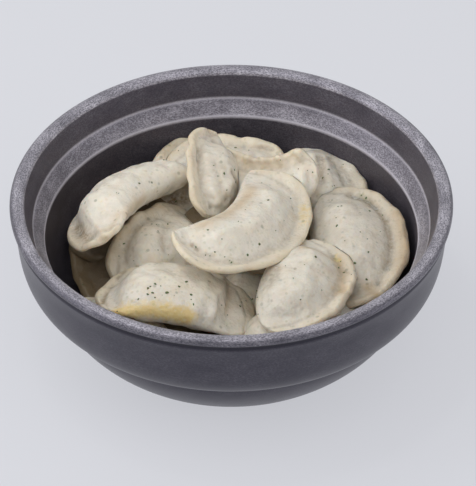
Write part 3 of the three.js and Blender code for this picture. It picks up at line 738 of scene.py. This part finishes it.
# Chopped dill that shows: place in millimetres, then the length of the flake.
DILL = (
    (-35, -44, 62, 1.3), (-34, -43, 62, 1), (-32, -41, 62, 1.3), (-35, -47, 61, 1.2), (-33, -46, 61, 1.3),
    (-32, -48, 60, 0.8), (-39, -49, 60, 1), (-27, -45, 60, 1.6), (-22, -41, 60, 1.1), (-19, -37, 59, 1.4),
    (-17, -44, 58, 1.2), (-16, -48, 56, 1.1), (4, -30, 41, 1.2), (6, -28, 40, 0.8), (4, -34, 43, 1.2),
    (-48, -52, 56, 0.7), (-17, -46, 57, 0.7), (16, 8, 67, 1.3), (12, -17, 63, 1.4), (7, -24, 63, 1.2),
    (0, -30, 64, 1.1), (-15, -25, 68, 1), (-10, -18, 72, 1), (-7, -27, 67, 0.8), (26, 21, 57, 0.8),
    (3, -11, 71, 0.7), (-3, -28, 65, 0.7), (-11, -29, 67, 0.7), (-9, -29, 67, 0.7), (6, -1, 69, 0.6),
    (19, -7, 62, 0.6), (-4, -22, 70, 0.6), (-40, 16, 70, 1.1), (-35, 20, 67, 1), (-47, 0, 49, 1.3),
    (-35, 10, 52, 1), (-28, 12, 50, 1), (-32, 4, 53, 0.7), (-39, 9, 52, 0.6), (-32, -7, 51, 0.6),
    (-49, -6, 47, 0.6), (1, 35, 62, 1.2), (-3, 29, 65, 1.3), (-8, 33, 66, 0.8), (2, 29, 60, 1),
    (-6, 28, 64, 0.7), (-2, 21, 62, 0.7), (36, 36, 60, 0.7), (22, 42, 62, 0.6), (2, 62, 54, 1.2),
    (8, 60, 54, 0.7), (44, 49, 51, 1.3), (42, 45, 49, 1.1), (46, 40, 49, 0.8), (51, 58, 47, 0.7),
    (60, 30, 50, 1.3), (58, 32, 50, 0.8), (61, 18, 52, 1.4), (46, 6, 54, 1.3), (59, -12, 54, 1.2),
    (53, -17, 52, 1.1), (49, -5, 55, 0.7), (56, 0, 55, 0.8), (47, 18, 55, 0.8), (58, -23, 48, 1.1),
    (51, -28, 55, 0.7), (46, 11, 54, 0.7), (59, -4, 55, 0.6), (65, 3, 53, 0.6), (68, -19, 50, 0.6),
    (45, 31, 48, 0.6), (36, -23, 61, 1.6), (46, -21, 53, 1), (48, -24, 53, 1.1), (26, -36, 60, 0.7),
    (29, -46, 57, 0.6), (38, -39, 56, 0.6), (31, -28, 61, 0.6), (47, -17, 53, 0.7), (-65, -12, 36, 0.7),
    (9, -24, 38, 1.2), (11, -19, 38, 1), (11, -39, 52, 0.8), (-25, 34, 45, 1), (-30, 37, 66, 1),
    (-24, 62, 52, 0.6),
)
STRAY_DILL = 40  # small flakes more, anywhere on top of the heap
STRAY_SIZES = (0.4, 0.8)
STRAY_LOWEST = 42.0
STRAY_FLATTEST = 0.25  # least upward share of the normal where one lies
DILL_SEED = 11
FLAKE_THICKNESS = 0.35
FLAKE_WIDTHS = (0.5, 0.9)  # as a share of the length
FLAKE_LUMPS = 0.28

# Relief of the dough: what is added to the dumpling's seed, spacing in millimetres, and height.
RELIEF = {
    "long_edge": (1, 11, 0.5), "short_edge": (7, 3.5, 0.25), "plate": (2, 4, 0.16), "filling": (3, 9, 0.045),
    "pores": (4, 3, 0.2), "skin": (8, 5.5, 0.22), "wave": (5, 6, 0.7), "pucker": (6, 5, 0.4),
}
LUMP_WAVES = 7
# How far in the belly has its full height: shares of the width, and from a tip a share of the length.
BELLY_FROM_FOLD, BELLY_FROM_SEAM, BELLY_FROM_TIP = 0.46, 0.4, 0.24
TWIST_AXIS = 0.4  # from the fold line, as a share of the width
LEAST_BEND = 0.1  # degrees; with less a dumpling stays straight
ROOM_GAP = 0.3  # between the dumplings and the bowl's inner wall
ROOM_TOP = 110
ROOM_SIDES = 160
SHARP_DEGREES = 50


def dumpling_shapes():
    """The full shape of each dumpling by its node, in the order in which they dent each other."""
    shapes = {name: {**dict(zip(COLUMNS, row)), **SPECIAL.get(name, {})} for name, row in SHOWN.items()}
    for name, (yaw, roll, middle) in HIDDEN.items():
        shapes[name] = {**HIDDEN_SHAPE, "turn": (yaw, 0, roll), "at": middle}
    return {
        f"pierog_{name}": {**DOUGH, **shape, "seed": seed, "worked": WORKED.get(name, ())}
        for seed, (name, shape) in enumerate(shapes.items(), 1)
    }


def rounded(x):
    """A quarter circle from 0 to 1."""
    return np.sqrt(1 - (1 - np.clip(x, 0, 1)) ** 2)


def swelling(x):
    """A quarter sine from 0 to 1."""
    return np.sin(np.clip(x, 0, 1) * math.pi / 2) ** 1.2


def lumps(x, y, seed, size):
    """Soft uneven relief, about -1 to 1, with lumps of the given size in millimetres."""
    draw = np.random.default_rng(seed)
    total = np.zeros(np.broadcast(x, y).shape)
    for _ in range(LUMP_WAVES):
        angle, phase = draw.uniform(0, 2 * math.pi, 2)
        length = 2 * size * draw.uniform(0.7, 1.5)
        total = total + np.sin(2 * math.pi * (x * math.cos(angle) + y * math.sin(angle)) / length + phase)
    return total / math.sqrt(LUMP_WAVES * 1.5)


def uneven(name, shape, x, y):
    """One kind of relief of the dough, in the height that RELIEF gives it."""
    number, spacing, height = RELIEF[name]
    return height * lumps(x, y, 100 * shape["seed"] + number, spacing)


def outline(shape, u):
    """Sealed edge and fold at u, -1 to 1 from tip to tip, in millimetres from the fold line."""
    tip = shape["tip"] * shape["width"]
    power = shape["sealed_curve"]
    leaned = np.clip(u - shape["lean"] * (1 - u * u), -1, 1)
    sealed = tip + (shape["width"] - tip) * np.clip(1 - np.abs(leaned) ** power, 0, 1) ** (1 / power)
    power = shape["fold_curve"]
    fold = tip * (1 - np.clip(1 - np.abs(u) ** power, 0, 1) ** (1 / power))
    fold = fold - shape["belly"] * shape["width"] * (1 - u * u)
    return sealed, fold


def flat_dumpling(shape, settings, u, v):
    """Points of the dumpling lying flat, and how much each is pressed edge and painted shade in the groove."""
    length, width = shape["length"], shape["width"]
    edge_thickness = settings.edge_thickness / MM
    flange = settings.flange / MM * np.interp(u, *zip(*shape["pressed"]))
    sealed, fold = outline(shape, u)
    x = length / 2 * u
    wavy = uneven("long_edge", shape, x, 0 * x) + uneven("short_edge", shape, x, 0 * x)
    sealed = sealed + (1 - u * u) * wavy
    y = fold + (sealed - fold) * (1 - np.cos(v)) / 2
    step = 0.001
    slope = (outline(shape, u + step)[0] - outline(shape, u - step)[0]) / (step * length)
    to_sealed = (sealed - y) / np.sqrt(1 + slope * slope)
    to_fold = y - fold
    to_tip = (1 - np.abs(u)) * length / 2
    edge = rounded(np.minimum(np.minimum(to_sealed, to_fold), to_tip * 1.2) / (edge_thickness * 0.6))
    # A bead runs along the seam, and a groove where the pressed edge meets the belly.
    bead = 0.18 * np.exp(-((to_sealed - 1.8) / 1.2) ** 2) - 0.2 * np.exp(-((to_sealed - flange) / 1.5) ** 2)
    plate = edge_thickness / 2 * edge * (1 + bead + uneven("plate", shape, x, y))
    end = np.where(u < 0, shape["ends"][0], shape["ends"][1])
    filling = (
        shape["thickness"] / 2
        * rounded(to_fold / (BELLY_FROM_FOLD * width))
        * swelling((to_sealed - flange) / (BELLY_FROM_SEAM * width))
        * swelling((to_tip - end) / (BELLY_FROM_TIP * length))
    )
    filled = np.clip(filling / 3, 0, 1)
    # The dough puckers beside that groove.
    by_crease = np.exp(-((to_sealed - flange * 1.5) / 2.5) ** 2)
    pucker = by_crease * uneven("pucker", shape, x * 2.4, y * 0.5)
    fine = uneven("pores", shape, x, y) + uneven("skin", shape, x, y)
    filling = filling * (1 + uneven("filling", shape, x, y)) + filled * (fine + pucker)
    # Plate and belly run into each other in a soft hollow.
    half = np.cbrt(plate ** 3 + np.maximum(filling, 0) ** 3)
    side = np.where(np.sin(v) >= 0, 1.0, -1.0)
    share = np.where(side > 0, shape["upper"], 1 - shape["upper"])
    at_edge = np.clip(1 - to_sealed / (flange * 1.2), 0, 1)
    wave = shape["ripple"] * at_edge * (
        np.sin(2 * math.pi * x / shape["ripple_length"] + shape["seed"]) + uneven("wave", shape, x, y)
    )
    drop = shape["edge_drop"] * np.clip(1 - to_sealed / (flange * 1.6), 0, 1) ** 1.5
    z = 2 * share * half * side + wave - drop
    pressed_edge = np.clip(1 - to_sealed / (flange * 1.3), 0, 1) * 0.9
    # Painted shade along the groove where the pressed edge meets the belly.
    crease = 0.3 * np.exp(-((to_sealed - flange * 1.15) / 1.3) ** 2)
    return np.stack([x, y, z], -1), pressed_edge, crease


def curl(points, axis, length, angle):
    """Bends x round a centre, so that the tips turn away from the given axis."""
    if abs(angle) < LEAST_BEND:
        return
    radius = length / math.radians(angle)
    turn = points[..., 0] / radius
    reach = radius + points[..., axis]
    points[..., 0] = reach * np.sin(turn)
    points[..., axis] = reach * np.cos(turn) - radius


def placed(shape, points):
    """Twists, bends, sags, turns and moves flat points to their place in the bowl."""
    length, width = shape["length"], shape["width"]
    points = points.copy()
    twist = np.radians(shape["twist"]) * points[..., 0] / length
    middle = TWIST_AXIS * width
    y, z = points[..., 1] - middle, points[..., 2].copy()
    points[..., 1] = middle + y * np.cos(twist) - z * np.sin(twist)
    points[..., 2] = y * np.sin(twist) + z * np.cos(twist)
    curl(points, 1, length, shape["bend"])
    curl(points, 2, length, shape["sag"])
    points[..., 1] -= middle
    yaw, pitch, roll = (math.radians(angle) for angle in shape["turn"])
    turn = Matrix.Rotation(yaw, 3, "Z") @ Matrix.Rotation(-pitch, 3, "Y") @ Matrix.Rotation(roll, 3, "X")
    return points @ np.array(turn).T + np.array(shape["at"], float)


def dumpling_points(shape, settings):
    """Vertices of a dumpling as rings from tip to tip, then one point at each tip, and its material's masks."""
    u = np.sin(np.linspace(-0.5, 0.5, shape["rows"] + 1)[1:-1] * math.pi)
    v = np.arange(shape["around"]) * 2 * math.pi / shape["around"]
    u, v = np.meshgrid(u, v, indexing="ij")
    body = flat_dumpling(shape, settings, u, v)
    tips = flat_dumpling(shape, settings, np.array([-1.0, 1.0]), np.full(2, math.pi / 2))
    flat = np.vstack([body[0].reshape(-1, 3), tips[0]])
    pressed_edge, crease = (np.concatenate([body[i].ravel(), tips[i]]) for i in (1, 2))
    # The deep shade is painted shade for dumplings that lie deep in the heap.
    masks = {"pressed_edge": pressed_edge, "soaked": np.full(len(flat), float(shape["soaked"]))}
    masks.update({mark: np.zeros(len(flat)) for mark in MARKS})
    masks["crease"] = crease
    return placed(shape, flat), masks


def from_path(points, path):
    """Distance of each point to a path of straight stretches."""
    nearest = np.full(len(points), np.inf)
    corners = np.array(path, float)
    for start, end in zip(corners[:-1], corners[1:]):
        along = end - start
        share = np.clip((points - start) @ along / (along @ along), 0, 1)
        nearest = np.minimum(nearest, np.linalg.norm(points - start - share[:, None] * along, axis=1))
    return nearest


def coordinates(mesh):
    """Places and normals of a mesh's vertices, the places in millimetres."""
    points, normals = np.empty((2, len(mesh.vertices) * 3))
    mesh.vertices.foreach_get("co", points)
    mesh.vertex_normals.foreach_get("vector", normals)
    return points.reshape(-1, 3) / MM, normals.reshape(-1, 3)


def place_vertices(mesh, points):
    """Moves a mesh's vertices to points in millimetres."""
    mesh.vertices.foreach_set("co", (points * MM).ravel())
    mesh.update()


def work_over(piece, masks, strokes):
    """Presses hollows and folds into the dough along short paths, or raises ridges, and marks it there with
    stains or with painted shade.
    """
    points, normals = coordinates(piece.data)
    moved = points.copy()
    for path, width, height, *stain in strokes:
        falloff = np.exp(-(from_path(points, path) / width) ** 2)
        moved += normals * (height * falloff)[:, None]
        if stain:
            mark, strength = stain
            masks[mark] = np.maximum(masks[mark], strength * falloff)
    place_vertices(piece.data, moved)
    return moved


def swollen(piece, name, distance):
    """A copy of the piece's surface moved outwards by so many millimetres, to cut its neighbours with."""
    mesh = piece.data.copy()
    points, normals = coordinates(mesh)
    place_vertices(mesh, points + normals * distance)
    return linked(name, mesh)


def boxes_meet(a, b):
    """Whether the boxes round two objects overlap."""
    corners = [np.array([corner[:] for corner in piece.bound_box]) for piece in (a, b)]
    low_a, high_a = corners[0].min(0), corners[0].max(0)
    low_b, high_b = corners[1].min(0), corners[1].max(0)
    return bool((low_a < high_b).all() and (low_b < high_a).all())


def cut(piece, cutter, operation):
    """Applies one boolean to the piece."""
    modifier = piece.modifiers.new("cut", "BOOLEAN")
    modifier.solver = "MANIFOLD"
    modifier.operation = operation
    modifier.object = cutter
    bpy.context.view_layer.update()
    evaluated = piece.evaluated_get(bpy.context.evaluated_depsgraph_get())
    mesh = bpy.data.meshes.new_from_object(evaluated)
    piece.modifiers.clear()
    if len(mesh.polygons) == 0:
        raise RuntimeError(f"{piece.name}: nothing is left after a cut by {cutter.name}")
    old = piece.data
    piece.data = mesh
    mesh.name = old.name
    bpy.data.meshes.remove(old)


def keep_largest_part(piece):
    """Deletes the loose scraps that a cut leaves."""
    body = bmesh.new()
    body.from_mesh(piece.data)
    left, parts = set(body.verts), []
    while left:
        part, edge = set(), {left.pop()}
        while edge:
            part |= edge
            edge = {link.other_vert(vertex) for vertex in edge for link in vertex.link_edges} - part
        left -= part
        parts.append(part)
    for part in sorted(parts, key=len)[:-1]:
        bmesh.ops.delete(body, geom=list(part), context="VERTS")
    body.to_mesh(piece.data)
    body.free()


def copy_masks(piece, points, masks):
    """Gives each vertex the material masks of the nearest point of the uncut dumpling."""
    tree = KDTree(len(points))
    for index, point in enumerate(points):
        tree.insert(point * MM, index)
    tree.balance()
    nearest = [tree.find(vertex.co)[1] for vertex in piece.data.vertices]
    for name, values in masks.items():
        set_numbers(piece.data, name, np.asarray(values)[nearest])


class PIEROGI_OT_dumplings(bpy.types.Operator):
    """Shape the dumplings and heap them in the bowl"""

    bl_idname = "pierogi.dumplings"
    bl_label = "Boiled dumplings"

    def execute(self, context):
        settings = context.scene.pierogi_dough
        dough = boiled_dough(settings)
        wall = inner_wall(context.scene.pierogi_bowl)
        room_profile = np.vstack([
            [(0, FLOOR_HEIGHT + ROOM_GAP)], wall[1:] + (-ROOM_GAP, ROOM_GAP),
            [(wall[-1][0] - ROOM_GAP, ROOM_TOP), (0, ROOM_TOP)],
        ])
        room = lathed("room", room_profile, ROOM_SIDES)
        cutters = []
        for name, shape in dumpling_shapes().items():
            points, masks = dumpling_points(shape, settings)
            faces = ring_faces(shape["rows"] - 1, shape["around"], turned=True)
            piece = mesh_object(f"boiled_{name}", points, faces)
            points = work_over(piece, masks, shape["worked"])
            cutter = swollen(piece, f"cutter_{name}", settings.gap / MM)
            cut(piece, room, "INTERSECT")
            for other in cutters:
                if boxes_meet(piece, other):
                    cut(piece, other, "DIFFERENCE")
            keep_largest_part(piece)
            piece.data.materials.clear()
            piece.data.materials.append(dough)
            copy_masks(piece, points, masks)
            smooth(piece.data)
            piece.data.set_sharp_from_angle(angle=math.radians(SHARP_DEGREES))
            cutters.append(cutter)
            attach(piece, BODY)
            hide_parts(name)
        for tool in [room, *cutters]:
            bpy.data.meshes.remove(tool.data)
        return {"FINISHED"}


class PIEROGI_OT_dill(bpy.types.Operator):
    """Scatter chopped dill over the dumplings"""

    bl_idname = "pierogi.dill"
    bl_label = "Chopped dill"

    def execute(self, context):
        draw = np.random.default_rng(DILL_SEED)
        corners, faces, wide = [], [], []
        for name in dumpling_shapes():
            piece = bpy.data.objects.get(f"boiled_{name}")
            if piece is None:
                raise RuntimeError(f"{name} has to be shaped before the dill")
            first = len(corners)
            corners.extend(vertex.co for vertex in piece.data.vertices)
            for face in piece.data.polygons:
                if face.normal.z > STRAY_FLATTEST and face.center.z > STRAY_LOWEST * MM:
                    wide.append((face.center.copy(), face.area))
                faces.append([first + corner for corner in face.vertices])
        surface = BVHTree.FromPolygons(corners, faces)
        areas = np.array([area for _, area in wide])
        chosen = draw.choice(len(wide), STRAY_DILL, p=areas / areas.sum())
        places = [(Vector(place) * MM, size) for *place, size in DILL]
        places += [(wide[index][0], draw.uniform(*STRAY_SIZES)) for index in chosen]
        ball = bmesh.new()
        bmesh.ops.create_icosphere(ball, subdivisions=2, radius=0.5)
        round_points = np.array([vertex.co[:] for vertex in ball.verts])
        round_faces = [[vertex.index for vertex in face.verts] for face in ball.faces]
        ball.free()
        points, flakes = [], []
        for place, size in places:
            spot, normal, _, _ = surface.find_nearest(place)
            lumpy = round_points * (1 + draw.uniform(-FLAKE_LUMPS, FLAKE_LUMPS, (len(round_points), 1)))
            flake = lumpy * (size, size * draw.uniform(*FLAKE_WIDTHS), FLAKE_THICKNESS)
            spin = Quaternion((0, 0, 1), draw.uniform(0, 2 * math.pi))
            turn = np.array((normal.to_track_quat("Z", "Y") @ spin).to_matrix())
            flakes.extend([[corner + len(points) * len(flake) for corner in face] for face in round_faces])
            points.append(flake @ turn.T + np.array(spot) / MM)
        dill = mesh_object("chopped_dill", np.vstack(points), flakes, chopped_dill(context.scene.pierogi_dough))
        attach(dill, BODY)
        return {"FINISHED"}


# --------------------------------------------------------------------- stage

CAMERA_DISTANCE = 1000.0
CAMERA_ELEVATION = 39.0
CAMERA_TARGET = (0, 0, 76)
CAMERA_AIM = (2.8, -12.9, 60.1)
FOCAL_PIXELS = 2330.0
FRAME_PIXELS = 486.0
SENSOR = 36.0
CAMERA_CLIP = (0.01, 20)  # in metres
HALF_FLOOR = 4000
# Square soft lamps: place, height that each points at, and size, in millimetres, and then the
# setting that holds its power.
LAMPS = {
    "window": ((-600, 200, 850), 40, 900, "key_power"),
    "fill": ((0, -600, 1100), 40, 900, "fill_power"),
    "left_side": ((-900, -150, 350), 50, 600, "side_power"),
    "right_side": ((1000, -350, 330), 50, 600, "side_power"),
    "spark": ((-150, -50, 1000), 50, 90, "spark_power"),
}


def aimed(name, data, place, target):
    """A lamp or camera at a place that looks at a target, both in millimetres."""
    piece = linked(name, data)
    piece.location = Vector(place) * MM
    piece.rotation_mode = "QUATERNION"
    piece.rotation_quaternion = (Vector(target) - Vector(place)).to_track_quat("-Z", "Y")
    return piece


class PIEROGI_OT_stage(bpy.types.Operator):
    """Add the floor, the lights and the camera"""

    bl_idname = "pierogi.stage"
    bl_label = "Stage"

    def execute(self, context):
        settings = context.scene.pierogi_stage
        corners = [(x * HALF_FLOOR, y * HALF_FLOOR, 0) for x, y in ((-1, -1), (1, -1), (1, 1), (-1, 1))]
        floor = mesh_object("floor", corners, [(0, 1, 2, 3)], opal_acrylic(settings))
        for name, (place, aim_height, size, power) in LAMPS.items():
            light = bpy.data.lights.new(name, "AREA")
            light.size = size * MM
            light.energy = getattr(settings, power)
            aimed(name, light, place, (0, 0, aim_height))
        world = bpy.data.worlds.new("room_light")
        context.scene.world = world
        world.use_nodes = True
        backdrop = world.node_tree.nodes["Background"]
        backdrop.inputs["Color"].default_value = rgba(settings.room)
        backdrop.inputs["Strength"].default_value = settings.ambient
        camera = bpy.data.cameras.new("camera")
        camera.sensor_width = SENSOR
        camera.lens = FOCAL_PIXELS / FRAME_PIXELS * SENSOR
        camera.clip_start, camera.clip_end = CAMERA_CLIP
        tilt = math.radians(CAMERA_ELEVATION)
        back = Vector((0, -math.cos(tilt), math.sin(tilt)))
        place = Vector(CAMERA_TARGET) + back * CAMERA_DISTANCE
        context.scene.camera = aimed("camera", camera, place, CAMERA_AIM)
        context.scene.view_settings.view_transform = "Standard"
        return {"FINISHED"}


# ------------------------------------------------------------------- sidebar


class PIEROGI_PT_panel(bpy.types.Panel):
    """Settings and steps of the bowl of pierogi"""

    bl_idname = "PIEROGI_PT_panel"
    bl_label = "Bowl of Pierogi"
    bl_space_type = "VIEW_3D"
    bl_region_type = "UI"
    bl_category = "Pierogi"

    def draw(self, context):
        for group, steps in (
            (context.scene.pierogi_bowl, ["pierogi.bowl"]),
            (context.scene.pierogi_dough, ["pierogi.dumplings", "pierogi.dill"]),
            (context.scene.pierogi_stage, ["pierogi.stage"]),
        ):
            box = self.layout.box()
            for key in group.__annotations__:
                box.prop(group, key)
            for step in steps:
                box.operator(step)


CLASSES = (
    BowlSettings, DoughSettings, StageSettings,
    PIEROGI_OT_bowl, PIEROGI_OT_dumplings, PIEROGI_OT_dill, PIEROGI_OT_stage, PIEROGI_PT_panel,
)


def register():
    for kind in CLASSES:
        bpy.utils.register_class(kind)
    bpy.types.Scene.pierogi_bowl = bpy.props.PointerProperty(type=BowlSettings)
    bpy.types.Scene.pierogi_dough = bpy.props.PointerProperty(type=DoughSettings)
    bpy.types.Scene.pierogi_stage = bpy.props.PointerProperty(type=StageSettings)


def unregister():
    del bpy.types.Scene.pierogi_bowl, bpy.types.Scene.pierogi_dough, bpy.types.Scene.pierogi_stage
    for kind in reversed(CLASSES):
        bpy.utils.unregister_class(kind)


def main():
    register()
    bpy.ops.pierogi.bowl()
    bpy.ops.pierogi.dumplings()
    bpy.ops.pierogi.dill()
    bpy.ops.pierogi.stage()


if __name__ == "__main__":
    main()
